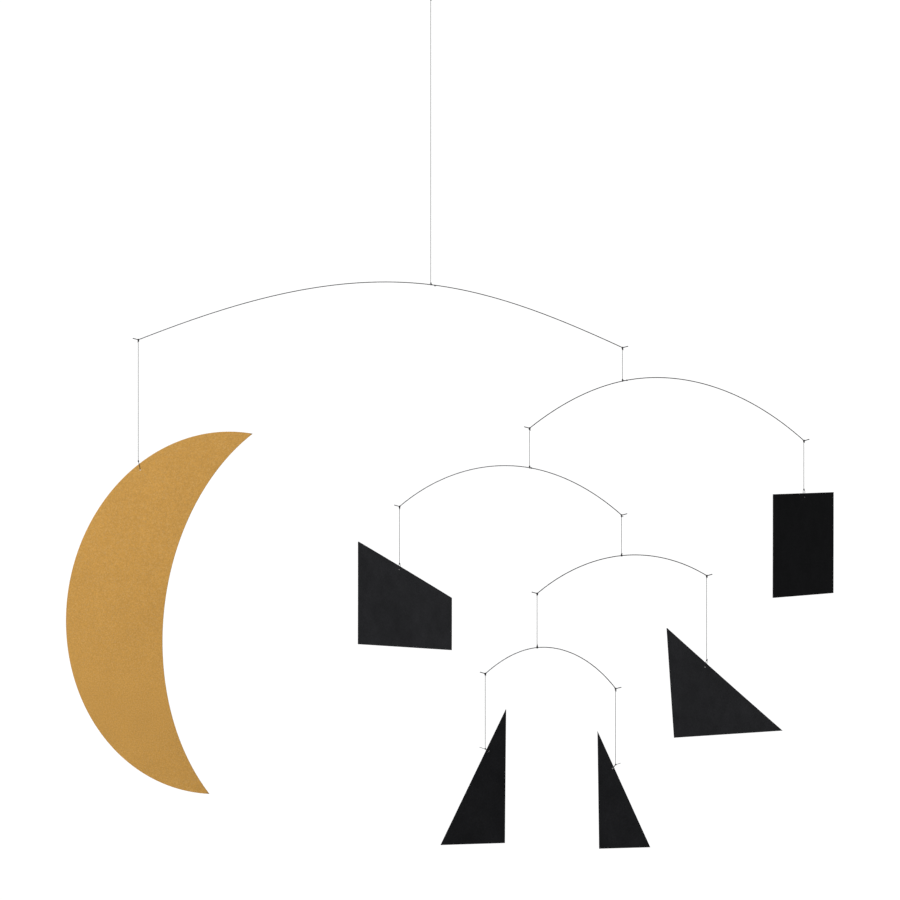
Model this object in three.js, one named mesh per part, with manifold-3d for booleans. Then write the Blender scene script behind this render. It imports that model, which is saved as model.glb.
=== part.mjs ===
// A hanging mobile: five arched spring-steel wires, each tied by a thread to an end of the wire
// above, carry a gold crescent moon and five black plates, and every wire balances on its thread.
// Millimetres, +Z up. The origin is the inside of the hanging loop's top, where a hook carries it.

import * as THREE from "three";
import { mergeVertices } from "three/addons/utils/BufferGeometryUtils.js";
import Module from "manifold-3d";

const wasm = await Module();
wasm.setup();

// Driving dimensions
const WIRE_DIAMETER = 0.8;
const WIRE_SIDES = 8;
const WIRE_STEPS = 26; // along each side of an arm
const KINK_RADIUS = 1.2; // of the bend that holds a thread near each end of an arm
const TAIL_LENGTH = 5; // of the wire past that bend
const TAIL_RISE = 15; // degrees above level
const BOARD_THICKNESS = 1.2;
const HOLE_DIAMETER = 1;
const THREAD_DIAMETER = 0.45;
const THREAD_SIDES = 8;
const THREAD_STEPS = 6;
const THREAD_TOP_GAP = 1.2; // from the middle of a wire down to the thread that its knot lets out
const THREAD_HUB_GAP = 1; // from the middle of a wire up to the thread that carries it
const LOOP_HEIGHT = 12; // from the hanging loop's knot to the inside of its top
const LOOP_WIDTH = 7;
const KNOT_DIAMETER = 1.6;

// An arm leaves its thread at hubSlope, falling to the right, and each side bends on down to
// endSlope; curl says how much of that bend comes early. Slopes and turns are in degrees.
const ARMS = {
  top_arm: {
    hubSlope: 7,
    left: { length: 270.7, endSlope: 21.3, curl: 0.74 },
    right: { length: 182.3, endSlope: 24.7, curl: 0.79 },
  },
  second_arm: {
    hubSlope: -11.8,
    left: { length: 96.5, endSlope: 37.9, curl: 0.32 },
    right: { length: 184.4, endSlope: 40.8, curl: 0.35 },
  },
  third_arm: {
    hubSlope: 9.5,
    left: { length: 130, endSlope: 39.7, curl: 0.14 },
    right: { length: 95.6, endSlope: 40.7, curl: 0.25 },
  },
  fourth_arm: {
    hubSlope: -5.6,
    left: { length: 84.8, endSlope: 39.6, curl: 0.15 },
    right: { length: 81.4, endSlope: 31.2, curl: 0.08 },
  },
  bottom_arm: {
    hubSlope: -6.1,
    left: { length: 53.5, endSlope: 41.2, curl: 0.52 },
    right: { length: 82.7, endSlope: 51.4, curl: 0.42 },
  },
};

// A plate's hole is placed from its balance point, and loop is the height of the thread's knot
// over the hole. Where the knot jams on the board's edge, the balance point hangs aside of the
// thread by a millimetre or so. The moon is an oval disc with an oval bite out of its right side.
const PLATES = {
  gold_moon: {
    disc: { across: 280, tall: 327.2, lean: -8.4 },
    bite: { across: 293.4, tall: 404.3, lean: -6, x: 93.8, z: -12.4 },
    hole: { x: 2.4, z: 120.6 },
    aside: -0.7,
    loop: 7.8,
  },
  black_rectangle: { width: 132.7, height: 92.8, hole: { x: 0, z: 43 }, loop: 6.7 },
  black_trapezoid: {
    width: 139.3,
    leftHeight: 93.7,
    rightHeight: 46.6,
    hole: { x: 0, z: 33.5 },
    loop: 5,
  },
  large_black_triangle: {
    base: 135,
    upright: 99,
    tilt: 5.5,
    hole: { x: -1.6, z: 28.3 },
    loop: 6,
  },
  left_small_triangle: {
    base: -63.4,
    upright: 119.3,
    tilt: -0.6,
    hole: { x: 4.7, z: 42.3 },
    aside: -1.6,
    loop: 2.2,
  },
  right_small_triangle: {
    base: 46.1,
    upright: 104.1,
    tilt: 0.8,
    hole: { x: -2.7, z: 36.2 },
    loop: 3.2,
  },
};

// drop is from the knot above to the middle of an arm's wire, or to the middle of a plate's hole.
// turn is how far the piece has swivelled from the arm above.
const MOBILE = {
  arm: "top_arm",
  drop: 268.4,
  turn: 0,
  left: { plate: "gold_moon", thread: "moon_thread", drop: 117.1, turn: 0 },
  right: {
    arm: "second_arm",
    thread: "second_arm_thread",
    drop: 30.1,
    turn: 12,
    left: {
      arm: "third_arm",
      thread: "third_arm_thread",
      drop: 35.5,
      turn: -27,
      left: { plate: "black_trapezoid", thread: "trapezoid_thread", drop: 56.8, turn: -37.3 },
      right: {
        arm: "fourth_arm",
        thread: "fourth_arm_thread",
        drop: 36.1,
        turn: 25,
        left: {
          arm: "bottom_arm",
          thread: "bottom_arm_thread",
          drop: 48.1,
          turn: -22,
          left: {
            plate: "left_small_triangle",
            thread: "left_triangle_thread",
            drop: 69.4,
            turn: 37.5,
          },
          right: {
            plate: "right_small_triangle",
            thread: "right_triangle_thread",
            drop: 70.5,
            turn: 20.5,
          },
        },
        right: {
          plate: "large_black_triangle",
          thread: "large_triangle_thread",
          drop: 81.6,
          turn: -58,
        },
      },
    },
    right: { plate: "black_rectangle", thread: "rectangle_thread", drop: 51, turn: 49.7 },
  },
};

const SPRING_STEEL = { color: 0x8e9094, roughness: 0.38, metalness: 1 };
const GOLD_BOARD = { color: 0xc2954f, roughness: 0.55, metalness: 0.3 };
const BLACK_BOARD = { color: 0x1c1c1d, roughness: 0.85, metalness: 0 };
const BLACK_THREAD = { color: 0x26262a, roughness: 0.8, metalness: 0 };

const degrees = THREE.MathUtils.degToRad;

// A path through given stations, with one section of the tube at each of them, so that stations
// can crowd together where the path bends sharply.
class StationPath extends THREE.Curve {
  constructor(stations) {
    super();
    this.stations = stations;
  }

  getPoint(t, target = new THREE.Vector3()) {
    const along = t * (this.stations.length - 1);
    const from = Math.min(Math.floor(along), this.stations.length - 2);
    return target.lerpVectors(this.stations[from], this.stations[from + 1], along - from);
  }

  getUtoTmapping(u) {
    return u;
  }
}

// A flat-sided ring with the area of the round section it stands for.
function roundSection(diameter, sides) {
  const area = Math.PI * (diameter / 2) ** 2;
  const corner = Math.sqrt((2 * area) / (sides * Math.sin((2 * Math.PI) / sides)));
  const points = [];
  for (let i = 0; i < sides; i++) {
    const angle = ((i + 0.5) / sides) * 2 * Math.PI;
    points.push(new THREE.Vector2(corner * Math.cos(angle), corner * Math.sin(angle)));
  }
  return new THREE.Shape(points);
}

function tube(path, steps, diameter, sides) {
  return new THREE.ExtrudeGeometry(roundSection(diameter, sides), { steps, extrudePath: path });
}

function toSolid(geometry) {
  const bare = geometry.clone();
  bare.deleteAttribute("normal");
  bare.deleteAttribute("uv");
  const merged = mergeVertices(bare, 1e-4);
  return new wasm.Manifold(
    new wasm.Mesh({
      numProp: 3,
      vertProperties: merged.attributes.position.array,
      triVerts: new Uint32Array(merged.index.array),
    }),
  );
}

function toGeometry(solid) {
  const { vertProperties, triVerts } = solid.getMesh();
  const geometry = new THREE.BufferGeometry();
  geometry.setAttribute("position", new THREE.BufferAttribute(vertProperties, 3));
  geometry.setIndex(new THREE.BufferAttribute(triVerts, 1));
  return geometry.toNonIndexed();
}

function mesh(name, geometry, finish) {
  geometry.computeVertexNormals();
  const made = new THREE.Mesh(geometry, new THREE.MeshStandardMaterial(finish));
  made.name = name;
  return made;
}

// Where a closed geometry balances: the mean of the tetrahedra between its faces and the origin.
function balancePoint(geometry) {
  const position = (geometry.index ? geometry.toNonIndexed() : geometry).getAttribute("position");
  const [a, b, c] = [new THREE.Vector3(), new THREE.Vector3(), new THREE.Vector3()];
  const moment = new THREE.Vector3();
  let volume = 0;
  for (let i = 0; i < position.count; i += 3) {
    a.fromBufferAttribute(position, i);
    b.fromBufferAttribute(position, i + 1);
    c.fromBufferAttribute(position, i + 2);
    const part = a.dot(b.clone().cross(c)) / 6;
    volume += part;
    moment.addScaledVector(a.add(b).add(c), part / 4);
  }
  return moment.divideScalar(volume);
}

// One side of an arm from its thread out to the kink: outward is -1 for the left and 1 for the
// right. The slope at the share u of the length is the hub's, plus the whole bend times
// (1 + curl) u - curl u squared.
function armSide({ length, endSlope, curl }, hubSlope, outward) {
  const start = degrees(outward * hubSlope);
  const bend = degrees(endSlope) - start;
  const step = length / WIRE_STEPS;
  const points = [new THREE.Vector3()];
  for (let i = 1; i <= WIRE_STEPS; i++) {
    const u = (i - 0.5) / WIRE_STEPS;
    const slope = start + bend * ((1 + curl) * u - curl * u * u);
    const last = points[i - 1];
    points.push(
      new THREE.Vector3(
        last.x + outward * step * Math.cos(slope),
        0,
        last.z - step * Math.sin(slope),
      ),
    );
  }
  return points;
}

// The kink turns the wire up from its end slope into the tail, as a short round bend whose
// lowest point is where the arm's side ends.
function kinkAndTail(end, endSlope, outward) {
  const down = degrees(endSlope);
  const up = degrees(TAIL_RISE);
  const points = [-down, 0, up].map(
    (angle) =>
      new THREE.Vector3(
        end.x + outward * KINK_RADIUS * Math.sin(angle),
        0,
        end.z + KINK_RADIUS * (1 - Math.cos(angle)),
      ),
  );
  points.push(
    new THREE.Vector3(
      points[2].x + outward * TAIL_LENGTH * Math.cos(up),
      0,
      points[2].z + TAIL_LENGTH * Math.sin(up),
    ),
  );
  return points;
}

function armWire(name) {
  const { hubSlope, left, right } = ARMS[name];
  const leftSide = armSide(left, hubSlope, -1);
  const rightSide = armSide(right, hubSlope, 1);
  const leftEnd = leftSide.pop();
  const rightEnd = rightSide.pop();
  const stations = [
    ...kinkAndTail(leftEnd, left.endSlope, -1).reverse(),
    ...leftSide.reverse(),
    ...rightSide.slice(1),
    ...kinkAndTail(rightEnd, right.endSlope, 1),
  ];
  const wire = tube(new StationPath(stations), stations.length - 1, WIRE_DIAMETER, WIRE_SIDES);
  return { wire: mesh(name, wire, SPRING_STEEL), leftEnd, rightEnd };
}

// Cuts a flat outline, drawn in x and z, from board that is centred on the XZ plane.
function board(outline, curveSegments) {
  const cut = new THREE.ExtrudeGeometry(outline, {
    depth: BOARD_THICKNESS,
    bevelEnabled: false,
    curveSegments,
  });
  return cut.rotateX(Math.PI / 2).translate(0, BOARD_THICKNESS / 2, 0);
}

function straightOutline(corners) {
  return new THREE.Shape(corners.map(([x, z]) => new THREE.Vector2(x, z)));
}

function oval({ across, tall, lean, x = 0, z = 0 }) {
  const outline = new THREE.Shape();
  outline.absellipse(x, z, across / 2, tall / 2, 0, 2 * Math.PI, false, degrees(lean));
  return outline;
}

function moonBlank({ disc, bite }) {
  const whole = toSolid(board(oval(disc), 110));
  const bitten = toSolid(board(oval(bite), 120).scale(1, 2, 1));
  return toGeometry(whole.subtract(bitten));
}

function rectangleBlank({ width, height }) {
  return board(
    straightOutline([
      [0, 0],
      [width, 0],
      [width, height],
      [0, height],
    ]),
  );
}

function trapezoidBlank({ width, leftHeight, rightHeight }) {
  return board(
    straightOutline([
      [0, 0],
      [width, 0],
      [width, rightHeight],
      [0, leftHeight],
    ]),
  );
}

// The right angle is at the bottom, on the left, or on the right where base is negative.
function triangleBlank({ base, upright, tilt = 0 }) {
  const blank = board(
    straightOutline([
      [0, 0],
      [base, 0],
      [0, upright],
    ]),
  );
  return blank.rotateY(-degrees(tilt));
}

const BLANKS = {
  gold_moon: moonBlank,
  black_rectangle: rectangleBlank,
  black_trapezoid: trapezoidBlank,
  large_black_triangle: triangleBlank,
  left_small_triangle: triangleBlank,
  right_small_triangle: triangleBlank,
};

// A plate hangs with its balance point under its thread, and its hole at height zero.
function plate(name) {
  const { hole, aside = 0 } = PLATES[name];
  const blank = BLANKS[name](PLATES[name]);
  const balance = balancePoint(blank);
  blank.translate(aside - balance.x, 0, -balance.z - hole.z);
  const punch = new THREE.CylinderGeometry(HOLE_DIAMETER / 2, HOLE_DIAMETER / 2, 4, 12);
  punch.translate(aside + hole.x, 0, 0);
  const punched = toGeometry(toSolid(blank).subtract(toSolid(punch)));
  return mesh(name, punched, name === "gold_moon" ? GOLD_BOARD : BLACK_BOARD);
}

function straightThread(top, bottom) {
  const path = new THREE.LineCurve3(new THREE.Vector3(0, 0, top), new THREE.Vector3(0, 0, bottom));
  return tube(path, THREAD_STEPS, THREAD_DIAMETER, THREAD_SIDES);
}

// The top thread ends in a tied loop: a drop-shaped eye that starts and ends in its knot.
function suspensionThread() {
  const side = LOOP_WIDTH / 2;
  const top = THREAD_DIAMETER / 2;
  const eye = new THREE.CatmullRomCurve3([
    new THREE.Vector3(0, 0, -LOOP_HEIGHT),
    new THREE.Vector3(-0.72 * side, 0, -0.6 * LOOP_HEIGHT),
    new THREE.Vector3(-side, 0, -0.28 * LOOP_HEIGHT),
    new THREE.Vector3(-0.6 * side, 0, -0.05 * LOOP_HEIGHT),
    new THREE.Vector3(0, 0, top),
    new THREE.Vector3(0.6 * side, 0, -0.05 * LOOP_HEIGHT),
    new THREE.Vector3(side, 0, -0.28 * LOOP_HEIGHT),
    new THREE.Vector3(0.72 * side, 0, -0.6 * LOOP_HEIGHT),
    new THREE.Vector3(0, 0, -LOOP_HEIGHT),
  ]);
  const knot = new THREE.SphereGeometry(KNOT_DIAMETER / 2, 10, 8).translate(0, 0, -LOOP_HEIGHT);
  const thread = straightThread(-LOOP_HEIGHT, -MOBILE.drop + THREAD_HUB_GAP);
  const solid = toSolid(tube(eye, 22, THREAD_DIAMETER, THREAD_SIDES))
    .add(toSolid(knot))
    .add(toSolid(thread));
  return mesh("suspension_thread", toGeometry(solid), BLACK_THREAD);
}

// Hangs a piece, and all that it carries, from the knot at the origin of the group it is given.
function hang(piece, knot) {
  const swivel = new THREE.Group();
  swivel.rotation.z = degrees(piece.turn);
  knot.add(swivel);
  const held = new THREE.Group();
  held.position.z = -piece.drop;
  swivel.add(held);
  const gap = piece.plate ? PLATES[piece.plate].loop : THREAD_HUB_GAP;
  if (piece.thread) {
    const thread = straightThread(-THREAD_TOP_GAP, -piece.drop + gap);
    swivel.add(mesh(piece.thread, thread, BLACK_THREAD));
  }
  if (piece.plate) {
    held.add(plate(piece.plate));
    return;
  }
  const { wire, leftEnd, rightEnd } = armWire(piece.arm);
  held.add(wire);
  for (const [end, load] of [
    [leftEnd, piece.left],
    [rightEnd, piece.right],
  ]) {
    const endKnot = new THREE.Group();
    endKnot.position.copy(end);
    held.add(endKnot);
    hang(load, endKnot);
  }
}

const group = new THREE.Group();
group.add(suspensionThread());
hang(MOBILE, group);

export default group;
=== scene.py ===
import math

import bmesh
import bpy
import numpy as np
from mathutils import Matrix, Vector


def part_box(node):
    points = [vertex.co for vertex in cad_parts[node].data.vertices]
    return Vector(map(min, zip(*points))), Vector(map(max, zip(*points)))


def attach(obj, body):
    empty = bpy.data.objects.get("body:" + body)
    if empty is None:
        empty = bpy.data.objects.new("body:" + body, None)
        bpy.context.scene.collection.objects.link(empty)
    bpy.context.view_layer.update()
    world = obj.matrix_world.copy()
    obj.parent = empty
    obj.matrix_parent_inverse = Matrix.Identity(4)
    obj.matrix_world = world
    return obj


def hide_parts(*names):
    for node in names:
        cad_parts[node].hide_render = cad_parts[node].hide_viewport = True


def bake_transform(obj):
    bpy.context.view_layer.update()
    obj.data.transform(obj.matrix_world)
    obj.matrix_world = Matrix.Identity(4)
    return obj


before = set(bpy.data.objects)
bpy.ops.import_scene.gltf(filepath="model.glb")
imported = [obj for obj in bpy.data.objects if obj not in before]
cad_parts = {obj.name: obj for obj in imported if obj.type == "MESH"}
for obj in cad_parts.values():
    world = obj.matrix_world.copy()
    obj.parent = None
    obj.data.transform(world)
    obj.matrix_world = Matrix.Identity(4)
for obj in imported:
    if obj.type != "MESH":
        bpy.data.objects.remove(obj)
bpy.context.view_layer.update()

# A hanging mobile: five arched spring-steel wires, eleven fine threads with their knots, a gold
# crescent moon and five black plates of heavy board. Metres, +Z up, as the frame is.

mm = 0.001
scene = bpy.context.scene
scene.view_settings.view_transform = "Standard"

cameraPlan = {
    "lens": 192, "sensor": 36, "clip": 100,
    "away": 4.32, "aside": 0.01719, "height": -0.38535, "shift": -0.0393,
}


def makeCamera(plan):
    data = bpy.data.cameras.new("camera")
    data.lens = plan["lens"]
    data.sensor_width = plan["sensor"]
    data.shift_y = plan["shift"]
    data.clip_end = plan["clip"]
    camera = bpy.data.objects.new("camera", data)
    camera.location = (plan["aside"], -plan["away"], plan["height"])
    camera.rotation_euler = (math.pi / 2, 0, 0)
    scene.collection.objects.link(camera)
    scene.camera = camera


makeCamera(cameraPlan)
print("camera placed")


# A material's nodes: inputs take plain values or the sockets that feed them.
def addNode(tree, kind, inputs=None, **settings):
    made = tree.nodes.new(kind)
    for key, value in settings.items():
        setattr(made, key, value)
    for key, value in (inputs or {}).items():
        if isinstance(value, bpy.types.NodeSocket):
            tree.links.new(value, made.inputs[key])
        else:
            made.inputs[key].default_value = value
    return made


def addMath(tree, operation, first, second=0, third=0):
    inputs = {0: first, 1: second, 2: third}
    return addNode(tree, "ShaderNodeMath", inputs, operation=operation).outputs[0]


def startGroup(name, inputs, outputs):
    tree = bpy.data.node_groups.new(name, "ShaderNodeTree")
    for socket, kind, value in inputs:
        made = tree.interface.new_socket(socket, in_out="INPUT", socket_type=kind)
        if value is not None:
            made.default_value = value
    for socket in outputs:
        tree.interface.new_socket(socket, in_out="OUTPUT", socket_type="NodeSocketFloat")
    return tree, addNode(tree, "NodeGroupInput").outputs, addNode(tree, "NodeGroupOutput").inputs


# Grain: two noises, one 2.7 times finer than the other, averaged to a height from 0 to 1, and a
# factor for colour that is 1 plus the amount times the height's distance from the middle.
def makeGrainGroup():
    inputs = [
        ("Vector", "NodeSocketVector", None),
        ("Scale", "NodeSocketFloat", 1000),
        ("Amount", "NodeSocketFloat", 0.1),
    ]
    tree, given, result = startGroup("grain", inputs, ["Factor", "Height"])
    fineScale = addMath(tree, "MULTIPLY", given["Scale"], 2.7)
    vector = given["Vector"]
    noises = [
        addNode(tree, "ShaderNodeTexNoise", {"Vector": vector, "Scale": scale, "Detail": 2})
        for scale in (given["Scale"], fineScale)
    ]
    both = addMath(tree, "ADD", noises[0].outputs[0], noises[1].outputs[0])
    height = addMath(tree, "MULTIPLY", both, 0.5)
    offset = addMath(tree, "SUBTRACT", height, 0.5)
    reach = addMath(tree, "MULTIPLY", given["Amount"], 4)
    tree.links.new(addMath(tree, "MULTIPLY_ADD", offset, reach, 1), result["Factor"])
    tree.links.new(height, result["Height"])
    return tree


# Fibres: noise drawn out along one direction of the board, turned by the angle, in two layers
# that cross, so the height has the short felted strokes of pressed board.
def makeFibreGroup():
    inputs = [
        ("Vector", "NodeSocketVector", None),
        ("Scale", "NodeSocketFloat", 400),
        ("Draw", "NodeSocketFloat", 0.2),
    ]
    tree, given, result = startGroup("fibres", inputs, ["Height"])
    layers = []
    for angle in (0.35, 1.9):
        turn = addNode(
            tree, "ShaderNodeVectorRotate", {"Vector": given["Vector"], "Angle": angle},
            rotation_type="Y_AXIS",
        )
        drawn = addNode(tree, "ShaderNodeCombineXYZ", {0: given["Draw"], 1: 1.0, 2: 1.0})
        stretch = addNode(
            tree, "ShaderNodeVectorMath", {0: turn.outputs[0], 1: drawn.outputs[0]},
            operation="MULTIPLY",
        )
        noise = addNode(
            tree, "ShaderNodeTexNoise",
            {"Vector": stretch.outputs[0], "Scale": given["Scale"], "Detail": 3},
        )
        layers.append(noise.outputs[0])
    tree.links.new(addMath(tree, "MAXIMUM", *layers), result["Height"])
    return tree


# Edge wear: full at the outline, fading to nothing at the width, and broken up by noise.
def makeEdgeWearGroup():
    inputs = [
        ("Vector", "NodeSocketVector", None),
        ("Distance", "NodeSocketFloat", 1),
        ("Width", "NodeSocketFloat", 0.4),
        ("Scale", "NodeSocketFloat", 300),
    ]
    tree, given, result = startGroup("edgeWear", inputs, ["Mask"])
    share = addMath(tree, "DIVIDE", given["Distance"], given["Width"])
    near = addNode(tree, "ShaderNodeMath", {0: 1.0, 1: share}, operation="SUBTRACT", use_clamp=True)
    noise = addNode(
        tree, "ShaderNodeTexNoise",
        {"Vector": given["Vector"], "Scale": given["Scale"], "Detail": 3},
    )
    broken = addNode(
        tree, "ShaderNodeMapRange",
        {"Value": noise.outputs[0], "From Min": 0.38, "From Max": 0.66},
    )
    tree.links.new(addMath(tree, "MULTIPLY", near.outputs[0], broken.outputs[0]), result["Mask"])
    return tree


grainGroup = makeGrainGroup()
fibreGroup = makeFibreGroup()
edgeWearGroup = makeEdgeWearGroup()


def startMaterial(name, plain):
    finish = bpy.data.materials.new(name)
    finish.use_nodes = True
    tree = finish.node_tree
    shader = tree.nodes["Principled BSDF"]
    for key, value in plain.items():
        shader.inputs[key].default_value = value
    return finish, tree, shader


def placeGroup(tree, group, inputs):
    return addNode(tree, "ShaderNodeGroup", inputs, node_tree=group).outputs


def scaled(tree, colour, factor):
    inputs = {0: colour, "Scale": factor}
    return addNode(tree, "ShaderNodeVectorMath", inputs, operation="SCALE").outputs[0]


def mixed(tree, factor, first, second):
    inputs = {"Factor": factor, 6: first, 7: second}
    return addNode(tree, "ShaderNodeMix", inputs, data_type="RGBA").outputs[2]


def bumped(tree, shader, height, distance, strength):
    bump = addNode(
        tree, "ShaderNodeBump", {"Height": height, "Distance": distance, "Strength": strength}
    )
    tree.links.new(bump.outputs[0], shader.inputs["Normal"])


# The colour, turning to a pale painted light within that light's width of the hole's wall: it
# stands in for the bright backdrop seen through the hole.
def paintedHoleLight(tree, colour, plan):
    distance = addNode(tree, "ShaderNodeAttribute", attribute_name="hole").outputs["Fac"]
    near = addNode(
        tree, "ShaderNodeMapRange",
        {"Value": distance, "From Max": plan["paintedHoleLightWidth"], "To Min": 1, "To Max": 0},
    )
    return mixed(tree, near.outputs[0], colour, plan["hole"])


# Each paint's noises run on the place in metres; the widths at holes and edges are millimetres.
goldPaint = {
    "colour": (0.455, 0.2405, 0.0485, 1),
    "dustAndGlint": (0.62, 0.45, 0.22, 1),  # painted glints: metal flakes drawn brighter, as if they caught the light
    "hole": (0.72, 0.55, 0.30, 1),  # painted light round the hole, standing in for the backdrop seen through it
    "core": (0.40, 0.26, 0.12, 1),  # the bare board at a worn edge
    "paintedHoleLightWidth": 0.2, "metal": 0.25, "specular": 0.3,
    "grain": {"Scale": 800, "Amount": 0.28},
    "cloud": {"Scale": 17, "Amount": 0.05},
    "fibres": {"Scale": 500, "Draw": 0.25},
    "dustAndGlintScale": 1000, "dustAndGlintRange": {"From Min": 0.5, "From Max": 0.72, "To Max": 0.18},
    "wear": {"Width": 0.35, "Scale": 260}, "wearShare": 0.4,
    "roughFrom": "grain", "roughRange": {"To Min": 0.5, "To Max": 0.66},
    "grainRelief": 0.7, "bumpDepth": 0.06 * mm, "bumpStrength": 0.5,
}
blackPaint = {
    "colour": (0.0112, 0.0114, 0.0126, 1),
    "dustAndGlint": (0.030, 0.030, 0.029, 1),  # specks of dust
    "hole": (0.62, 0.61, 0.59, 1),  # painted light round the hole, standing in for the backdrop seen through it
    "core": (0.060, 0.057, 0.052, 1),  # the board's own grey at a worn edge
    "paintedHoleLightWidth": 0.2, "metal": 0, "specular": 0.05,
    "grain": {"Scale": 900, "Amount": 0.5},
    "cloud": {"Scale": 30, "Amount": 0.3},
    "fibres": {"Scale": 420, "Draw": 0.18},
    "dustAndGlintScale": 700, "dustAndGlintRange": {"From Min": 0.72, "From Max": 0.8, "To Max": 0.4},
    "wear": {"Width": 0.3, "Scale": 240}, "wearShare": 0.2,
    "roughFrom": "fibres", "roughRange": {"To Min": 0.62, "To Max": 0.8},
    "grainRelief": 0.4, "bumpDepth": 0.08 * mm, "bumpStrength": 0.5,
}


# Painted board: the paint's colour times a fine grain and a broad faint clouding, mixed to the
# bright specks' colour where a very fine noise peaks (dust on the black board, painted glints on
# the gold), to the core's along the worn edges and to a pale painted light round the hole, which
# stands in for the bright backdrop seen through it. It is rougher where the grain or the fibres
# stand high, and both give its relief.
def makeBoard(name, plan):
    plain = {"Metallic": plan["metal"], "Specular IOR Level": plan["specular"]}
    finish, tree, shader = startMaterial(name, plain)
    place = addNode(tree, "ShaderNodeTexCoord").outputs["Object"]
    grain = placeGroup(tree, grainGroup, {"Vector": place, **plan["grain"]})
    cloud = placeGroup(tree, grainGroup, {"Vector": place, **plan["cloud"]})
    fibres = placeGroup(tree, fibreGroup, {"Vector": place, **plan["fibres"]})
    # Bright specks where a very fine noise peaks: dust on the black board, painted glints on the
    # gold.
    dustAndGlintNoise = addNode(
        tree, "ShaderNodeTexNoise", {"Vector": place, "Scale": plan["dustAndGlintScale"], "Detail": 1}
    )
    dustAndGlint = addNode(
        tree, "ShaderNodeMapRange", {"Value": dustAndGlintNoise.outputs[0], **plan["dustAndGlintRange"]}
    )
    tone = addMath(tree, "MULTIPLY", grain["Factor"], cloud["Factor"])
    colour = mixed(tree, dustAndGlint.outputs[0], scaled(tree, plan["colour"][:3], tone), plan["dustAndGlint"])
    distance = addNode(tree, "ShaderNodeAttribute", attribute_name="edge").outputs["Fac"]
    wear = placeGroup(tree, edgeWearGroup, {"Vector": place, "Distance": distance, **plan["wear"]})
    worn = addMath(tree, "MULTIPLY", wear["Mask"], plan["wearShare"])
    # Worn edges show the core; round the hole a pale painted light stands in for the backdrop seen
    # through it.
    colour = paintedHoleLight(tree, mixed(tree, worn, colour, plan["core"]), plan)
    tree.links.new(colour, shader.inputs["Base Color"])
    heights = {"grain": grain["Height"], "fibres": fibres["Height"]}
    rough = addNode(
        tree, "ShaderNodeMapRange", {"Value": heights[plan["roughFrom"]], **plan["roughRange"]}
    )
    tree.links.new(rough.outputs[0], shader.inputs["Roughness"])
    relief = addMath(tree, "MULTIPLY_ADD", grain["Height"], plan["grainRelief"], fibres["Height"])
    bumped(tree, shader, relief, plan["bumpDepth"], plan["bumpStrength"])
    return finish


# A tube's UV map runs in millimetres along it and in turns around it. Multiplied by a small factor
# along and a large one around, it draws noise out into lines along the tube.
def drawnOut(tree, factors):
    along = addNode(tree, "ShaderNodeUVMap", uv_map="alongAndAround").outputs[0]
    inputs = {0: along, 1: factors}
    return addNode(tree, "ShaderNodeVectorMath", inputs, operation="MULTIPLY").outputs[0]


steelFinish = {
    "colour": (0.085, 0.087, 0.092), "plain": {"Metallic": 1},
    "draw": (0.08, 14, 1), "lines": {"Scale": 1.5, "Amount": 0.25},
    "oxide": {"Scale": 160, "Amount": 0.4}, "roughRange": {"To Min": 0.34, "To Max": 0.52},
    "bumpDepth": 0.01 * mm, "bumpStrength": 0.6,
}


# Spring steel: drawn wire. The drawn-out noise gives the die's fine lines, and slow changes along
# the wire give the oxide's tone and roughness.
def makeSpringSteel(plan):
    finish, tree, shader = startMaterial("spring_steel", plan["plain"])
    vector = drawnOut(tree, plan["draw"])
    lines = placeGroup(tree, grainGroup, {"Vector": vector, **plan["lines"]})
    place = addNode(tree, "ShaderNodeTexCoord").outputs["Object"]
    oxide = placeGroup(tree, grainGroup, {"Vector": place, **plan["oxide"]})
    tone = addMath(tree, "MULTIPLY", lines["Factor"], oxide["Factor"])
    tree.links.new(scaled(tree, plan["colour"], tone), shader.inputs["Base Color"])
    rough = addNode(tree, "ShaderNodeMapRange", {"Value": oxide["Height"], **plan["roughRange"]})
    tree.links.new(rough.outputs[0], shader.inputs["Roughness"])
    bumped(tree, shader, lines["Height"], plan["bumpDepth"], plan["bumpStrength"])
    return finish


threadFinish = {
    "colour": (0.014, 0.014, 0.016),
    "plain": {"Roughness": 0.75, "Specular IOR Level": 0.2, "Sheen Weight": 0.05},
    "draw": (0.8, 9, 1), "fibres": {"Scale": 2.5, "Amount": 0.8},
    "bumpDepth": 0.02 * mm, "bumpStrength": 0.5,
}


# Black thread: spun fibres run along the thread, lighter and darker by turns.
def makeBlackThread(plan):
    finish, tree, shader = startMaterial("black_thread", plan["plain"])
    vector = drawnOut(tree, plan["draw"])
    fibres = placeGroup(tree, grainGroup, {"Vector": vector, **plan["fibres"]})
    colour = scaled(tree, plan["colour"], fibres["Factor"])
    tree.links.new(colour, shader.inputs["Base Color"])
    bumped(tree, shader, fibres["Height"], plan["bumpDepth"], plan["bumpStrength"])
    return finish


goldBoard = makeBoard("gold_board", goldPaint)
blackBoard = makeBoard("black_board", blackPaint)
springSteel = makeSpringSteel(steelFinish)
blackThread = makeBlackThread(threadFinish)
print("materials mixed")


# The same line with points an even step apart along it.
def resampled(points, step):
    along = np.concatenate([[0], np.cumsum(np.linalg.norm(np.diff(points, axis=0), axis=1))])
    at = np.linspace(0, along[-1], int(math.ceil(along[-1] / step)) + 1)
    return np.stack([np.interp(at, along, points[:, k]) for k in range(3)], 1)


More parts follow.
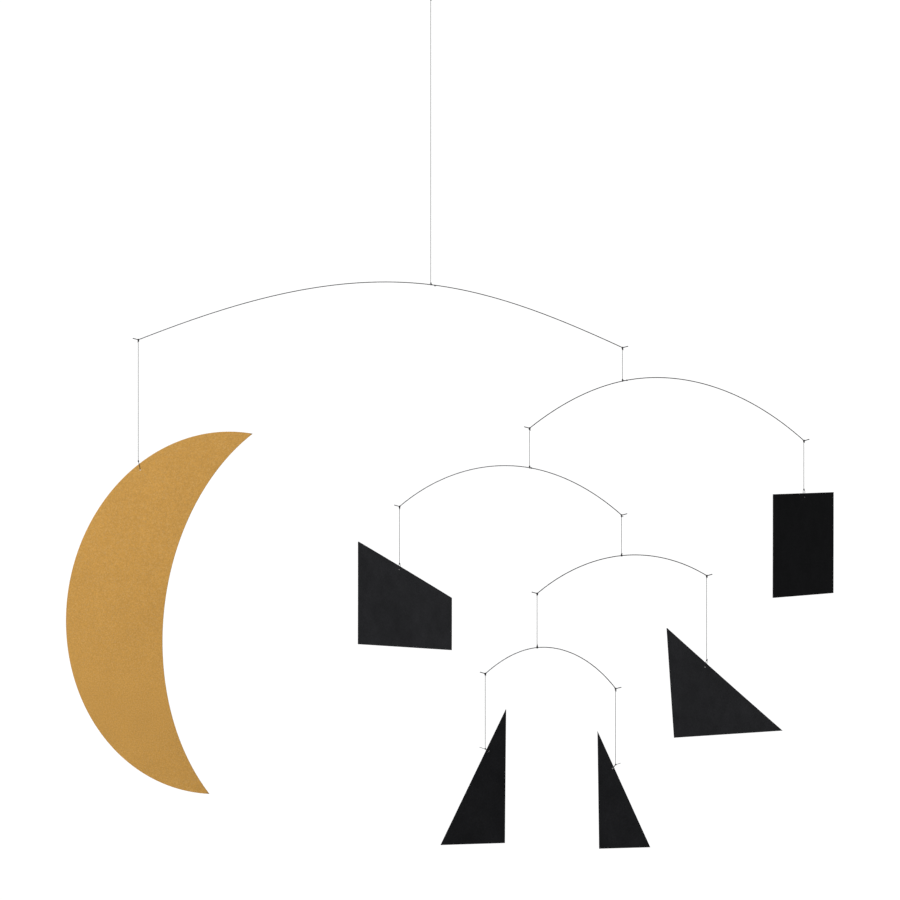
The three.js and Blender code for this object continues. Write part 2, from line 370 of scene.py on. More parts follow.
# A line through corners, softened: each point becomes the mean of its neighbours within reach,
# twice over, while both ends stay where they are.
def softened(points, reach, step):
    fine = resampled(np.asarray(points, float), step)
    span = int(round(reach / step))
    kernel = np.ones(2 * span + 1) / (2 * span + 1)
    for _ in range(2):
        before = 2 * fine[0] - fine[span:0:-1]
        after = 2 * fine[-1] - fine[-2:-span - 2:-1]
        wide = np.concatenate([before, fine, after])
        fine = np.stack([np.convolve(wide[:, k], kernel, "valid") for k in range(3)], 1)
    return fine


# Two normals carried along a path without turning about it: each is the last one made square to
# the path again.
def carriedNormals(path):
    tangent = np.gradient(path, axis=0)
    tangent /= np.linalg.norm(tangent, axis=1, keepdims=True)
    normal = np.zeros_like(path)
    askew = (0.31, 0.87, 0.38)  # a direction that no path starts along
    side = np.cross(tangent[0], askew)
    for i, way in enumerate(tangent):
        side = side - way * (side @ way)
        side /= np.linalg.norm(side)
        normal[i] = side
    return normal, np.cross(tangent, normal)


# A ring of points at each step of the path. At the angle a its radius is the plan's radius times
# 1 + plyDepth cos(plies a); the ring turns once in each twist, and the ends round off over round,
# down to the root of blunt times the radius.
def tubeArrays(path, plan, closed=False):
    sides, count = plan["sides"], len(path)
    normal, across = carriedNormals(path)
    steps = np.linalg.norm(np.diff(path, axis=0), axis=1)
    along = np.concatenate([[0], np.cumsum(steps)])
    corner = np.arange(sides) * 2 * math.pi / sides
    twist = plan.get("twist", math.inf)
    angle = corner[None, :] + (2 * math.pi * along / twist)[:, None]
    size = np.full(count, plan["radius"])
    if not closed:
        near = np.clip(np.minimum(along, along[-1] - along) / plan["round"], 0, 1)
        size = size * np.sqrt(np.clip(1 - (1 - near) ** 2, plan["blunt"], 1))
    ply = 1 + plan.get("plyDepth", 0) * np.cos(plan.get("plies", 0) * corner)
    reach = size[:, None] * ply[None, :]
    rings = (
        path[:, None, :]
        + (reach * np.cos(angle))[:, :, None] * normal[:, None, :]
        + (reach * np.sin(angle))[:, :, None] * across[:, None, :]
    )
    i, j = np.meshgrid(np.arange(count - 1 + closed), np.arange(sides), indexing="ij")
    i, j = i.ravel(), j.ravel()
    nextRing, nextSide = (i + 1) % count, (j + 1) % sides
    quads = np.stack(
        [i * sides + j, i * sides + nextSide, nextRing * sides + nextSide, nextRing * sides + j], 1
    )
    length = np.append(along, along[-1] + steps[-1])
    maps = np.stack(
        [length[i], j / sides, length[i], (j + 1) / sides,
         length[i + 1], (j + 1) / sides, length[i + 1], j / sides], 1
    ).reshape(-1, 2)
    caps = [] if closed else [
        list(range(sides))[::-1], list(range((count - 1) * sides, count * sides))
    ]
    return rings.reshape(-1, 3), quads, caps, maps


# One object from several tubes. Its UV map has millimetres along and turns around.
def tubeObject(name, tubes, finish):
    points, faces, maps, start = [], [], [], 0
    for ring, quads, caps, share in tubes:
        points.append(ring)
        faces += (quads + start).tolist() + [[k + start for k in cap] for cap in caps]
        maps += [share] + [np.zeros((len(cap), 2)) for cap in caps]
        start += len(ring)
    data = bpy.data.meshes.new(name)
    data.from_pydata(np.concatenate(points).tolist(), [], faces)
    flat = np.concatenate(maps) / (mm, 1)
    layer = data.uv_layers.new(name="alongAndAround")
    layer.data.foreach_set("uv", flat.ravel().astype(np.float32))
    data.polygons.foreach_set("use_smooth", np.ones(len(faces), bool))
    data.materials.append(finish)
    made = bpy.data.objects.new(name, data)
    scene.collection.objects.link(made)
    return made


# A thread's own axis and its ends, from the frame.
def threadLine(node):
    low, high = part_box(node)
    return np.array([(low.x + high.x) / 2, (low.y + high.y) / 2, high.z]), low.z


def nodePoints(node):
    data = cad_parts[node].data
    points = np.zeros(len(data.vertices) * 3, np.float32)
    data.vertices.foreach_get("co", points)
    return points.reshape(-1, 3).astype(float)


# How far a plate is turned about +Z: the direction of its broadest front faces.
def plateTurn(node):
    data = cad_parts[node].data
    normals = np.zeros(len(data.polygons) * 3, np.float32)
    areas = np.zeros(len(data.polygons), np.float32)
    data.polygons.foreach_get("normal", normals)
    data.polygons.foreach_get("area", areas)
    normals = normals.reshape(-1, 3)
    level = 0.01  # how little an upright face's normal rises
    front = (normals[:, 1] < 0) & (np.abs(normals[:, 2]) < level)
    facing = normals[front][np.argmax(areas[front])]
    return math.atan2(facing[0], -facing[1])


# Each arm: the threads it is tied to, the slope at its hub, falling to the right, and for each
# side its length, its slope at the end and how much of the bend comes early.
armPlans = {
    "top_arm": {
        "threads": ("moon_thread", "suspension_thread", "second_arm_thread"),
        "hubSlope": 7, "left": (270.7, 21.3, 0.74), "right": (182.3, 24.7, 0.79),
    },
    "second_arm": {
        "threads": ("third_arm_thread", "second_arm_thread", "rectangle_thread"),
        "hubSlope": -11.8, "left": (96.5, 37.9, 0.32), "right": (184.4, 40.8, 0.35),
    },
    "third_arm": {
        "threads": ("trapezoid_thread", "third_arm_thread", "fourth_arm_thread"),
        "hubSlope": 9.5, "left": (130, 39.7, 0.14), "right": (95.6, 40.7, 0.25),
    },
    "fourth_arm": {
        "threads": ("bottom_arm_thread", "fourth_arm_thread", "large_triangle_thread"),
        "hubSlope": -5.6, "left": (84.8, 39.6, 0.15), "right": (81.4, 31.2, 0.08),
    },
    "bottom_arm": {
        "threads": ("left_triangle_thread", "bottom_arm_thread", "right_triangle_thread"),
        "hubSlope": -6.1, "left": (53.5, 41.2, 0.52), "right": (82.7, 51.4, 0.42),
    },
}
wirePlan = {
    "radius": 0.4 * mm, "sides": 16, "round": 0.12 * mm, "blunt": 0.12, "step": 0.9 * mm,
    "kinkRadius": 1.2 * mm, "kinkPoints": 14, "tail": 5 * mm, "tailRise": math.radians(15),
    "tailShares": np.array([*np.linspace(0, 0.97, 7)[1:], 0.98, 0.986, 0.992, 0.996, 1]),
    "hubGap": 1 * mm, "endGap": 1.2 * mm,  # from a thread's end to the middle of the wire
}
threadPlan = {
    "radius": 0.225 * mm, "sides": 12, "plies": 3, "plyDepth": 0.07, "twist": 1.9 * mm,
    "round": 0.08 * mm, "blunt": 0.12, "step": 0.2 * mm, "pathStep": 0.3 * mm,
    "knotAway": 1.2 * mm, "wrapRadius": 0.64 * mm, "wrapPitch": 0.47 * mm, "wrapTurns": 3,
    "wrapPoints": 90, "soften": 0.2 * mm, "softenTail": 0.08 * mm, "softenStep": 0.04 * mm,
    "besideKnot": np.array([0.15, -0.18, 0]) * mm,  # where the run passes a knot's middle
}
knotPlan = {
    "out": 0.46 * mm, "lobe": 0.18 * mm, "rise": 0.4 * mm, "points": 90,
    "thread": {"radius": 0.2 * mm, "sides": 8},
    "upperLean": 0.4, "lowerLean": 1.1, "tailLean": 0.8,
}


# Where an arm's wire passes its three threads, and the direction of the wire seen from above.
def armPlaces(plan):
    left, hub, right = (threadLine(name) for name in plan["threads"])
    way = right[0] - left[0]
    way[2] = 0
    hubPlace = np.array([*hub[0][:2], hub[1] - wirePlan["hubGap"]])
    leftPlace = left[0] + (0, 0, wirePlan["endGap"])
    rightPlace = right[0] + (0, 0, wirePlan["endGap"])
    return leftPlace, hubPlace, rightPlace, way / np.linalg.norm(way)


# One side of an arm, outward from its hub, as distance out and height. The slope at the share u
# of the length is the hub's plus the whole bend times (1 + early) u - early u squared, and the
# whole is stretched by a hair so that it ends at the tie. The kink and the straight tail follow.
def armSide(plan, outward, side, tieOut, tieDown):
    length, endSlope, early = side
    start = math.radians(outward * plan["hubSlope"])
    bend = math.radians(endSlope) - start
    count = int(length * mm / wirePlan["step"])
    u = (np.arange(count) + 0.5) / count
    slope = start + bend * ((1 + early) * u - early * u ** 2)
    out = np.concatenate([[0], np.cumsum(np.cos(slope))])
    down = np.concatenate([[0], np.cumsum(np.sin(slope))])
    out, down = out * tieOut / out[-1], down * tieDown / down[-1]
    angle = np.linspace(-math.radians(endSlope), wirePlan["tailRise"], wirePlan["kinkPoints"])
    kinkOut = tieOut + wirePlan["kinkRadius"] * np.sin(angle)
    kinkUp = -tieDown + wirePlan["kinkRadius"] * (1 - np.cos(angle))
    tail = wirePlan["tailShares"] * wirePlan["tail"]
    tailOut = kinkOut[-1] + tail * math.cos(wirePlan["tailRise"])
    tailUp = kinkUp[-1] + tail * math.sin(wirePlan["tailRise"])
    return (
        np.concatenate([out[:-1], kinkOut, tailOut]),
        np.concatenate([-down[:-1], kinkUp, tailUp]),
    )


def makeArm(name, plan):
    left, hub, right, way = armPlaces(plan)
    sides = {}
    for key, outward, tie in (("left", -1, left), ("right", 1, right)):
        tieOut = outward * (tie - hub) @ way
        sides[key] = armSide(plan, outward, plan[key], tieOut, hub[2] - tie[2])
    out = np.concatenate([-sides["left"][0][::-1], sides["right"][0][1:]])
    up = np.concatenate([sides["left"][1][::-1], sides["right"][1][1:]])
    path = hub + out[:, None] * way + up[:, None] * np.array([0, 0, 1])
    arm = tubeObject(name + "_wire", [tubeArrays(path, wirePlan)], springSteel)
    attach(arm, name)
    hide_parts(name)


# A tie on a wire: a leg that touches the wire's side, the turns round the wire, and the other leg
# back to the knot, or off along the wire's front. At the angle a the thread stands at the wrap's
# radius from the wire's middle, cos a towards the knot and sin a to the side, and each turn moves
# it on along the wire by the pitch.
def wireTie(place, way, towards, tiedOff=False):
    way = way / np.linalg.norm(way)
    up = np.array([0, 0, towards]) - way * (way[2] * towards)
    up /= np.linalg.norm(up)
    aside = np.cross(way, up)
    touch = math.acos(threadPlan["wrapRadius"] / threadPlan["knotAway"])
    whole = threadPlan["wrapTurns"] * 2 * math.pi
    last, middle = (1.5 * math.pi + touch, touch) if tiedOff else (whole - touch, whole / 2)
    a = np.linspace(touch, last, threadPlan["wrapPoints"])[:, None]
    onward = (a - middle) / (2 * math.pi) * threadPlan["wrapPitch"] * way
    return place + onward + threadPlan["wrapRadius"] * (up * np.cos(a) + aside * np.sin(a))


# A tie through a plate's hole, from the knot and back: out to clear the board's front, down to the
# hole, through it in a half circle that carries the rim, up the back and in again.
def holeTie(hole, turn, knot):
    facing = np.array([-math.sin(turn), math.cos(turn), 0])
    pull = (knot - hole) / np.linalg.norm(knot - hole)
    middle = hole + pull * (holePlan["radius"] + holePlan["lift"])
    a = np.linspace(0, math.pi, holePlan["arcPoints"])[:, None]
    arc = middle - holePlan["arc"] * (facing * np.cos(a) + pull * np.sin(a))
    shoulder = knot - pull * holePlan["shoulder"]
    front, back = shoulder - holePlan["arc"] * facing, shoulder + holePlan["arc"] * facing
    return np.concatenate([[front], arc, [back]])


# A knot: the thread laid as a trefoil. With t once round, the angle is 2t, the distance out is
# the knot's size plus a lobe times cos 3t, and the height is the knot's rise times sin 3t.
def knotTube(place, lean):
    t = np.linspace(0, 2 * math.pi, knotPlan["points"], endpoint=False)
    out = knotPlan["out"] + knotPlan["lobe"] * np.cos(3 * t)
    x, y, z = out * np.cos(2 * t), knotPlan["rise"] * np.sin(3 * t), out * np.sin(2 * t)
    c, s = math.cos(lean), math.sin(lean)
    path = place + np.stack([x * c - y * s, x * s + y * c, z], 1)
    return tubeArrays(path, knotPlan["thread"], closed=True)


# Each thread: the body above, the body below, and where its cut ends lie from their knots, in
# millimetres along the wire (or to the right, on a plate), away from the front, and up. A lower
# end that is tied off runs on along the wire to a knot of its own; a long tail stands out from
# its knot.
threadPlans = {
    "suspension_thread": {
        "joins": ("hanging_thread", "top_arm"),
        "bottomTail": (3.7, -1.2, -2.1), "ending": "tiedOff",
    },
    "moon_thread": {
        "joins": ("top_arm", "gold_moon"),
        "topTail": (-0.9, -0.6, -1.2), "bottomTail": (0.3, -0.7, -1.7),
    },
    "second_arm_thread": {
        "joins": ("top_arm", "second_arm"),
        "topTail": (0.7, -0.6, -1.2), "bottomTail": (3.7, -1.2, -0.5), "ending": "tiedOff",
    },
    "third_arm_thread": {
        "joins": ("second_arm", "third_arm"),
        "topTail": (1.1, -0.5, -1.2), "bottomTail": (1.9, -1.2, -1.5), "ending": "tiedOff",
    },
    "rectangle_thread": {
        "joins": ("second_arm", "black_rectangle"),
        "topTail": (-0.5, -0.5, -1.4), "bottomTail": (0.6, -1.2, -1.3),
    },
    "trapezoid_thread": {
        "joins": ("third_arm", "black_trapezoid"),
        "topTail": (0.2, -0.6, -1.9), "bottomTail": (-0.4, -0.7, 1.7),
    },
    "fourth_arm_thread": {
        "joins": ("third_arm", "fourth_arm"),
        "topTail": (1.9, -0.4, -0.2), "bottomTail": (0.6, -0.6, 1.2),
    },
    "bottom_arm_thread": {
        "joins": ("fourth_arm", "bottom_arm"),
        "topTail": (-0.5, -0.6, -1.4), "bottomTail": (0.3, -0.6, 1.7),
    },
    "large_triangle_thread": {
        "joins": ("fourth_arm", "large_black_triangle"),
        "topTail": (-0.4, -0.5, -1.5), "bottomTail": (0.8, -0.8, 1.3),
    },
    "left_triangle_thread": {
        "joins": ("bottom_arm", "left_small_triangle"),
        "topTail": (-1.2, -0.5, 1.2), "bottomTail": (-5.4, -0.6, 1.7), "ending": "longTail",
    },
    "right_triangle_thread": {
        "joins": ("bottom_arm", "right_small_triangle"),
        "topTail": (0.6, -0.5, -1.6), "bottomTail": (4.4, -0.6, 1.4), "ending": "longTail",
    },
}
loopPlan = {
    "height": 12 * mm, "width": 7 * mm, "points": 80,
    "neck": 0.35, "fullness": 1.32, "quickness": 0.8,
}
holePlan = {
    "radius": 0.5 * mm, "lift": 0.155 * mm, "arc": 0.845 * mm, "arcPoints": 24,
    "shoulder": 1.1 * mm, "drillSides": 40, "drillReach": 5 * mm,
    "searchAside": 7 * mm, "searchDown": 9 * mm, "searchGrid": 0.01 * mm, "searchRadii": 2.2,
}


# The direction of an arm's wire where a thread is tied to it.
def wireWay(thread, arm):
    plan = armPlans[arm]
    way = armPlaces(plan)[3]
    if plan["threads"][1] != thread:
        return way
    slope = math.radians(plan["hubSlope"])
    return way * math.cos(slope) + np.array([0, 0, -math.sin(slope)])


# The middle of a plate's hole, from the frame. Of the plate's points near its thread's end, the
# one with the most others round it is on the hole, and the middle of those others is the hole's.
def holePlace(plate, line, bottom):
    points = nodePoints(plate)
    turn = plateTurn(plate)
    along = np.array([math.cos(turn), math.sin(turn)])
    out = (points[:, :2] - line[:2]) @ along
    below = bottom - points[:, 2]
    near = (np.abs(out) < holePlan["searchAside"]) & (below > 0) & (below < holePlan["searchDown"])
    grid = holePlan["searchGrid"]
    ring = np.unique(np.round(np.stack([out[near], points[near, 2]], 1) / grid), axis=0)
    reach = holePlan["searchRadii"] * holePlan["radius"] / grid
    best = max(ring, key=lambda p: np.sum(np.linalg.norm(ring - p, axis=1) < reach))
    ring = ring[np.linalg.norm(ring - best, axis=1) < reach] * grid
    middle = (ring.max(0) + ring.min(0)) / 2
    return np.array([*(line[:2] + along * middle[0]), middle[1]]), turn


# The hanging loop: an eye that leaves its knot, swings round and comes back to it. With t from 0
# to 1 round it, the rise is (1 - cos 2 pi t) / 2. The height is the loop's times the rise to the
# power of the quickness, and the width is drawn in to the neck's share of itself at the knot.
def hangingEye(knot):
    t = np.linspace(0, 1, loopPlan["points"])
    rise = (1 - np.cos(2 * math.pi * t)) / 2
    high = loopPlan["height"] + threadPlan["radius"]
    drop = loopPlan["fullness"] * (loopPlan["neck"] + (1 - loopPlan["neck"]) * rise)
    wide = -loopPlan["width"] / 2 * np.sin(2 * math.pi * t) * drop
    return knot + np.stack([wide, 0 * t, high * rise ** loopPlan["quickness"]], 1)


# A cut end's place, from its knot: on a wire it is measured along the wire.
def tailPlace(knot, tail, body):
    way = armPlaces(armPlans[body])[3] if body in armPlans else np.array([1, 0, 0])
    return knot + (tail[0] * way + tail[1] * np.array([-way[1], way[0], 0]) + (0, 0, tail[2])) * mm


# A thread: its tie above, straight down past both knots, and its tie below, softened into one
# line, with the cut ends added on.
def makeThread(name, plan):
    above, below = plan["joins"]
    tiedOff = plan.get("ending") == "tiedOff"
    line, bottom = threadLine(name)
    end = np.array([line[0], line[1], bottom])
    offset = threadPlan["besideKnot"]
    if above == "hanging_thread":
        upperKnot = np.array([line[0], line[1], -loopPlan["height"]])
        upperTie = hangingEye(upperKnot)
    else:
        tie = line + (0, 0, wirePlan["endGap"])
        upperKnot = tie - (0, 0, threadPlan["knotAway"])
        upperTie = wireTie(tie, wireWay(name, above), -1)
    if below in armPlans:
        tie = end - (0, 0, wirePlan["hubGap"])
        lowerKnot = tie + (0, 0, threadPlan["knotAway"])
        lowerTie = wireTie(tie, wireWay(name, below), 1, tiedOff)
    else:
        hole, turn = holePlace(below, line, bottom)
        lowerKnot = end
        lowerTie = holeTie(hole, turn, lowerKnot)
    tailEnd = tailPlace(lowerKnot, plan["bottomTail"], below)
    ends = {"tiedOff": [tailEnd], "longTail": [lowerKnot + offset, tailEnd]}
    ending = ends.get(plan.get("ending"), [lowerKnot + offset])
    drop = [upperKnot - offset, lowerKnot - offset]
    run = [[upperKnot + offset], upperTie, drop, lowerTie, ending]
    run = softened(np.concatenate(run), threadPlan["soften"], threadPlan["softenStep"])
    pieces = [run] if "ending" in plan else [run, [tailEnd]]
    if "topTail" in plan:
        pieces.insert(0, [tailPlace(upperKnot, plan["topTail"], above)])
    whole = np.concatenate(pieces)
    whole = softened(whole, threadPlan["softenTail"], threadPlan["softenStep"])
    tubes = [
        tubeArrays(resampled(whole, threadPlan["step"]), threadPlan),
        knotTube(upperKnot, knotPlan["upperLean"]),
        knotTube(lowerKnot, knotPlan["lowerLean"]),
    ]
    if tiedOff:
        tubes.append(knotTube(tailEnd, knotPlan["tailLean"]))
    thread = tubeObject(name + "_tied", tubes, blackThread)
    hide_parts(name)
    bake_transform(thread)


for name, plan in threadPlans.items():
    makeThread(name, plan)
for name, plan in armPlans.items():
    makeArm(name, plan)
print("threads tied, wires bent")


# Each plate: where its corners lie, as directions seen from the front (top left, top right, bottom
# right, bottom left; a triangle's top two are one), and how far it bows over the reach. The moon
# is an oval disc with an oval bite taken out of its right side.
platePlans = {
    "gold_moon": {
        "disc": {"across": 280, "tall": 327.2, "lean": -8.4},
        "bite": {"across": 293.4, "tall": 404.3, "lean": -6, "aside": 93.8, "above": -12.4},
        "bow": 0.9, "reach": 150, "rows": 110, "finish": goldBoard, "slot": "gold_board",
    },
    "black_rectangle": {"corners": ((-1, 1), (1, 1), (1, -1), (-1, -1)), "bow": 0.4},
    "black_trapezoid": {"corners": ((-0.1, 1), (1, 0.1), (1, -1), (-1, -1)), "bow": -0.5},
    "large_black_triangle": {"corners": ((0, 1), (0, 1), (1, 0), (-0.3, -1)), "bow": 0.5},
    "left_small_triangle": {"corners": ((0, 1), (0, 1), (1, -1), (-1, -0.1)), "bow": -0.3},
    "right_small_triangle": {"corners": ((0, 1), (0, 1), (1, -0.1), (-1, -1)), "bow": 0.3},
}
boardPlan = {
    "thickness": 1.2 * mm, "rounding": 0.15 * mm, "reach": 70, "spacing": 4 * mm, "rows": 40,
    "bowDown": 0.3, "sharp": math.radians(38), "outlineSteps": 20001,
    "edgeStations": np.array([0, 0.03, 0.07, 0.12, 0.17, 0.3, 0.9]) * mm,
}


# Points of a leaning oval, at the angles from its own long way across.
def ovalPoints(oval, angle):
    lean = math.radians(oval["lean"])
    x, z = oval["across"] / 2 * np.cos(angle), oval["tall"] / 2 * np.sin(angle)
    return np.stack([
        oval.get("aside", 0) + x * math.cos(lean) - z * math.sin(lean),
        oval.get("above", 0) + x * math.sin(lean) + z * math.cos(lean),
    ], 1) * mm


# How far points lie outside an oval: its own two coordinates, each over its half length, squared
# and added, less one.
def outsideOval(oval, points):
    lean = math.radians(oval["lean"])
    x, z = points[:, 0] / mm - oval["aside"], points[:, 1] / mm - oval["above"]
    across = x * math.cos(lean) + z * math.sin(lean)
    tall = -x * math.sin(lean) + z * math.cos(lean)
    return (across / (oval["across"] / 2)) ** 2 + (tall / (oval["tall"] / 2)) ** 2 - 1


# The moon's two edges from the upper horn to the lower: the disc's arc that lies outside the bite,
# and the bite's arc between the same two horns.
def moonEdges(plan, points, rows):
    disc, bite = plan["disc"], plan["bite"]
    angle = np.linspace(0, 2 * math.pi, boardPlan["outlineSteps"])
    inside = angle[outsideOval(bite, ovalPoints(disc, angle)) > 0]
    outer = ovalPoints(disc, np.linspace(inside[0], inside[-1], rows))
    arc = ovalPoints(bite, angle)
    ends = [angle[np.argmin(np.linalg.norm(arc - horn, axis=1))] for horn in (outer[0], outer[-1])]
    inner = ovalPoints(bite, np.linspace(ends[0], ends[1], rows))
    inner[0], inner[-1] = outer[0], outer[-1]
    whole = ovalPoints(disc, angle)
    shift = (points[:, 0].min() - whole[:, 0].min(), points[:, 1].max() - whole[:, 1].max())
    return outer + shift, inner + shift


# A plate's left and right edges, each straight between the two of its points that lie furthest in
# the plan's directions.
def straightEdges(plan, points, rows):
    corners = [points[np.argmax(points @ np.array(way))] for way in plan["corners"]]
    share = edgeSpread(rows, np.linalg.norm(corners[0] - corners[3]))[:, None]
    left = corners[0] + share * (corners[3] - corners[0])
    right = corners[1] + share * (corners[2] - corners[1])
    return left, right


# Shares from 0 to 1 that crowd near both ends at the edge stations and run evenly between.
def edgeSpread(count, length):
    near = boardPlan["edgeStations"] / max(length, 1e-9)
    near = near * min(1, 0.45 / near[-1])
    between = np.linspace(near[-1], 1 - near[-1], count - 2 * len(near) + 2)[1:-1]
    return np.concatenate([near, between, 1 - near[::-1]])


# The distance from each point to the nearest stretch of a closed outline.
def outlineDistance(points, outline):
    a, b = outline, np.roll(outline, -1, axis=0)
    keep = np.linalg.norm(b - a, axis=1) > 1e-9
    a, b = a[keep], b[keep]
    best = np.full(len(points), np.inf)
    for start, way in zip(a, b - a):
        share = np.clip((points - start) @ way / (way @ way), 0, 1)
        best = np.minimum(best, np.linalg.norm(points - start - share[:, None] * way, axis=1))
    return best


# A board between two edge curves. The point u across and v down is (1 - u) left(v) + u right(v).
# Half its thickness at the distance d from the outline is the flat half thickness, less the
# rounding, plus the root of rounding squared minus the square of what d lacks of the rounding.
def boardMesh(name, left, right, bow, finish):
    rows = len(left)
    widths = np.linalg.norm(right - left, axis=1)
    columns = int(widths.max() / boardPlan["spacing"]) + 2 * len(boardPlan["edgeStations"])
    u = np.stack([edgeSpread(columns, width) for width in widths])[:, :, None]
    grid = ((1 - u) * left[:, None, :] + u * right[:, None, :]).reshape(-1, 2)
    outline = np.concatenate([left, right[::-1]])
    lack = np.maximum(boardPlan["rounding"] - outlineDistance(grid, outline), 0)
    half = boardPlan["thickness"] / 2 - boardPlan["rounding"]
    half = half + np.sqrt(boardPlan["rounding"] ** 2 - lack ** 2)
    bend = bow(grid)
    front = np.stack([grid[:, 0], bend - half, grid[:, 1]], 1)
    back = np.stack([grid[:, 0], bend + half, grid[:, 1]], 1)
    i, j = np.meshgrid(np.arange(rows - 1), np.arange(columns - 1), indexing="ij")
    corner = (i * columns + j).ravel()
    face = np.stack([corner, corner + columns, corner + columns + 1, corner + 1], 1)
    top, bottom = np.arange(columns), np.arange(columns) + (rows - 1) * columns
    leftSide, rightSide = np.arange(rows) * columns, np.arange(rows) * columns + columns - 1
    rim = np.concatenate([leftSide[:-1], bottom[:-1], rightSide[:0:-1], top[:0:-1]])
    ahead = np.roll(rim, -1)
    wall = np.stack([rim, rim + len(grid), ahead + len(grid), ahead], 1)
    faces = np.concatenate([face, face[:, ::-1] + len(grid), wall])
    data = bpy.data.meshes.new(name)
    data.from_pydata(np.concatenate([front, back]).tolist(), [], faces.tolist())
    data.materials.append(finish)
    shape = bmesh.new()
    shape.from_mesh(data)
    bmesh.ops.remove_doubles(shape, verts=shape.verts, dist=1e-6)
    bmesh.ops.dissolve_degenerate(shape, dist=1e-7, edges=shape.edges)
    bmesh.ops.recalc_face_normals(shape, faces=shape.faces)
    shape.to_mesh(data)
    shape.free()
    return data, outline


# The board with its hole cut by a drill of the hole's size, a closed tube along Y.
def drilled(data, place):
    sides = holePlan["drillSides"]
    k = np.arange(sides)
    around = k * 2 * math.pi / sides
    ring = np.stack([np.cos(around), 0 * around, np.sin(around)], 1) * holePlan["radius"] + place
    reach = np.array([0, holePlan["drillReach"], 0])
    points = np.concatenate([ring - reach, ring + reach])
    ahead = (k + 1) % sides
    walls = np.stack([k, k + sides, ahead + sides, ahead], 1).tolist()
    caps = [k.tolist(), (k[::-1] + sides).tolist()]
    drill = bpy.data.meshes.new("drill")
    drill.from_pydata(points.tolist(), [], walls + caps)
    shape = bmesh.new()
    shape.from_mesh(drill)
    bmesh.ops.recalc_face_normals(shape, faces=shape.faces)
    shape.to_mesh(drill)
    shape.free()
    board, cutter = (bpy.data.objects.new(part.name, part) for part in (data, drill))
    scene.collection.objects.link(board)
    scene.collection.objects.link(cutter)
    cut = board.modifiers.new("hole", "BOOLEAN")
    cut.operation, cut.solver, cut.object = "DIFFERENCE", "EXACT", cutter
    graph = bpy.context.evaluated_depsgraph_get()
    holed = bpy.data.meshes.new_from_object(board.evaluated_get(graph))
    bpy.data.objects.remove(board)
    bpy.data.objects.remove(cutter)
    bpy.data.meshes.remove(drill)
    return holed


# A plate, made flat about its thread's line with X along the board. It bows back from the hole by
# the plan's bow times the square of the distance across, over the reach, and a share of the square
# of the distance down. It is then turned about the thread's line to where the frame has it.
def makePlate(name, plan):
    thread = next(key for key, value in threadPlans.items() if value["joins"][1] == name)
    line, bottom = threadLine(thread)
    hole, turn = holePlace(name, line, bottom)
    along = np.array([math.cos(turn), math.sin(turn)])
    points = nodePoints(name)
    points = np.stack([(points[:, :2] - line[:2]) @ along, points[:, 2]], 1)
    findEdges = moonEdges if "disc" in plan else straightEdges
    left, right = findEdges(plan, points, plan.get("rows", boardPlan["rows"]))
    holeFlat = np.array([(hole[:2] - line[:2]) @ along, hole[2]])
    reach = plan.get("reach", boardPlan["reach"]) * mm

    def bow(grid):
        away = (grid - holeFlat) / reach
        return plan["bow"] * mm * (away[:, 0] ** 2 + boardPlan["bowDown"] * away[:, 1] ** 2)

    data, outline = boardMesh(name, left, right, bow, plan.get("finish", blackBoard))
    data = drilled(data, (holeFlat[0], 0, holeFlat[1]))
    flat = np.zeros(len(data.vertices) * 3, np.float32)
    data.vertices.foreach_get("co", flat)
    flat = flat.reshape(-1, 3).astype(float)
    distance = outlineDistance(flat[:, (0, 2)], outline) / mm
    # Each point's distance from the outline for the edge wear, and from the hole's wall for the
    # painted light round the hole.
    away = np.linalg.norm(flat[:, (0, 2)] - holeFlat, axis=1) - holePlan["radius"]
    for key, values in (("edge", distance), ("hole", np.abs(away) / mm)):
        layer = data.attributes.new(key, "FLOAT", "POINT")
        layer.data.foreach_set("value", values.astype(np.float32))
    c, s = math.cos(turn), math.sin(turn)
    placed = np.stack([
        line[0] + flat[:, 0] * c - flat[:, 1] * s,
        line[1] + flat[:, 0] * s + flat[:, 1] * c,
        flat[:, 2],
    ], 1)
    data.vertices.foreach_set("co", placed.astype(np.float32).ravel())
    data.polygons.foreach_set("use_smooth", np.ones(len(data.polygons), bool))
    data.set_sharp_from_angle(angle=boardPlan["sharp"])
    data.update()
    board = bpy.data.objects.new(name + "_board", data)
    scene.collection.objects.link(board)
    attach(board, name)
    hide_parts(name)
    print(f"{name}: {len(data.polygons)} faces")


for name, plan in platePlans.items():
    makePlate(name, plan)
print("plates cut")

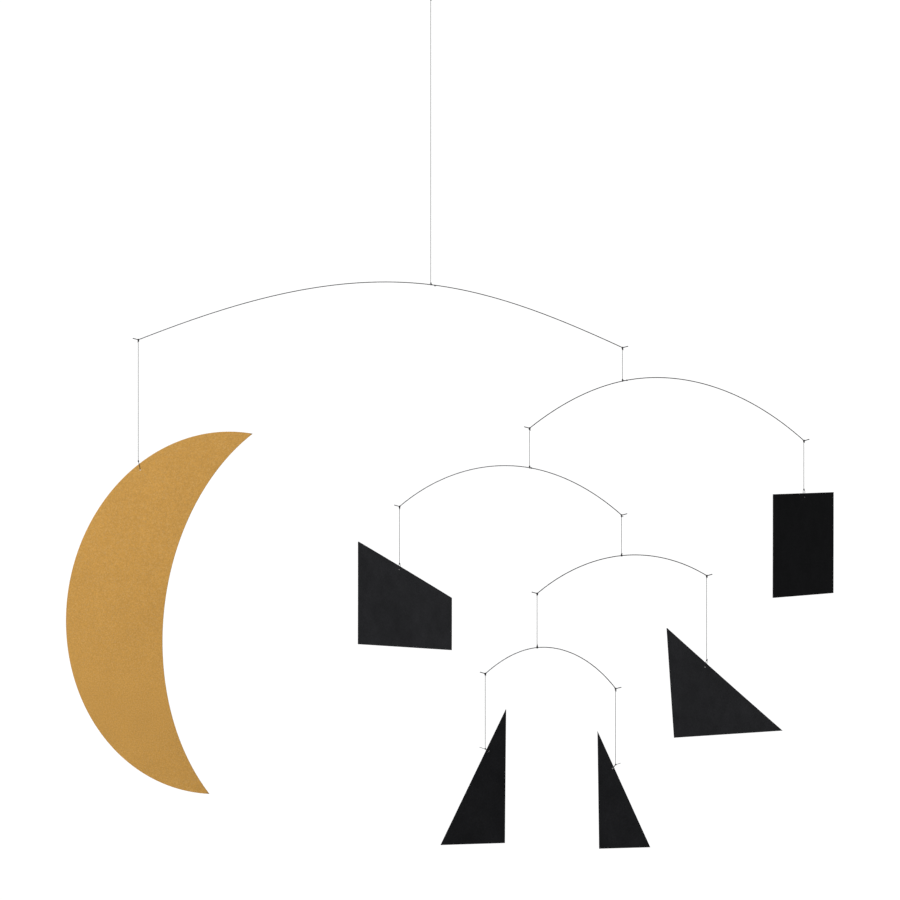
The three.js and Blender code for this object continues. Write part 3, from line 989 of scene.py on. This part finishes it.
paperWhite = {"Color": (1, 1, 1, 1), "Strength": 1.05}
floorPlan = {"size": 60, "height": -1.05, "colour": (0.86, 0.86, 0.86, 1), "roughness": 0.9}
lightPlan = {
    "room": 0.26,  # soft light from all round
    "keyPlace": (-1.15, -1.2, 0.45), "keyAim": (0, 0, -0.5), "keySize": 1.1, "keyPower": 40,
}


# A plain pale floor that reads as white paper to the camera and as pale grey to everything else.
def makeFloor(plan):
    plain = {"Base Color": plan["colour"], "Roughness": plan["roughness"]}
    finish, tree, shader = startMaterial("floor", plain)
    seen = addNode(tree, "ShaderNodeLightPath").outputs["Is Camera Ray"]
    white = addNode(tree, "ShaderNodeEmission", paperWhite)
    both = addNode(
        tree, "ShaderNodeMixShader", {0: seen, 1: shader.outputs[0], 2: white.outputs[0]}
    )
    tree.links.new(both.outputs[0], tree.nodes["Material Output"].inputs["Surface"])
    half = plan["size"] / 2
    corners = [(-half, -half), (half, -half), (half, half), (-half, half)]
    data = bpy.data.meshes.new("floor")
    data.from_pydata([(x, y, plan["height"]) for x, y in corners], [], [(0, 1, 2, 3)])
    data.materials.append(finish)
    floor = bpy.data.objects.new("floor", data)
    scene.collection.objects.link(floor)


# Soft light from all round, white where the camera sees it, and one large key light.
def makeLights(plan):
    world = bpy.data.worlds.new("room")
    world.use_nodes = True
    scene.world = world
    tree = world.node_tree
    tree.nodes.clear()
    seen = addNode(tree, "ShaderNodeLightPath").outputs["Is Camera Ray"]
    soft = addNode(tree, "ShaderNodeBackground", {"Color": (1, 1, 1, 1), "Strength": plan["room"]})
    white = addNode(tree, "ShaderNodeBackground", paperWhite)
    both = addNode(tree, "ShaderNodeMixShader", {0: seen, 1: soft.outputs[0], 2: white.outputs[0]})
    addNode(tree, "ShaderNodeOutputWorld", {"Surface": both.outputs[0]})
    light = bpy.data.lights.new("key", "AREA")
    light.shape = "DISK"
    light.size = plan["keySize"]
    light.energy = plan["keyPower"]
    key = bpy.data.objects.new("key", light)
    place, aim = np.array(plan["keyPlace"]), np.array(plan["keyAim"])
    key.location = place
    away = place - aim
    key.rotation_euler = (
        math.acos(away[2] / np.linalg.norm(away)), 0, math.atan2(away[0], -away[1])
    )
    key.visible_camera = False
    scene.collection.objects.link(key)


makeFloor(floorPlan)
makeLights(lightPlan)
print("floor and lights set")
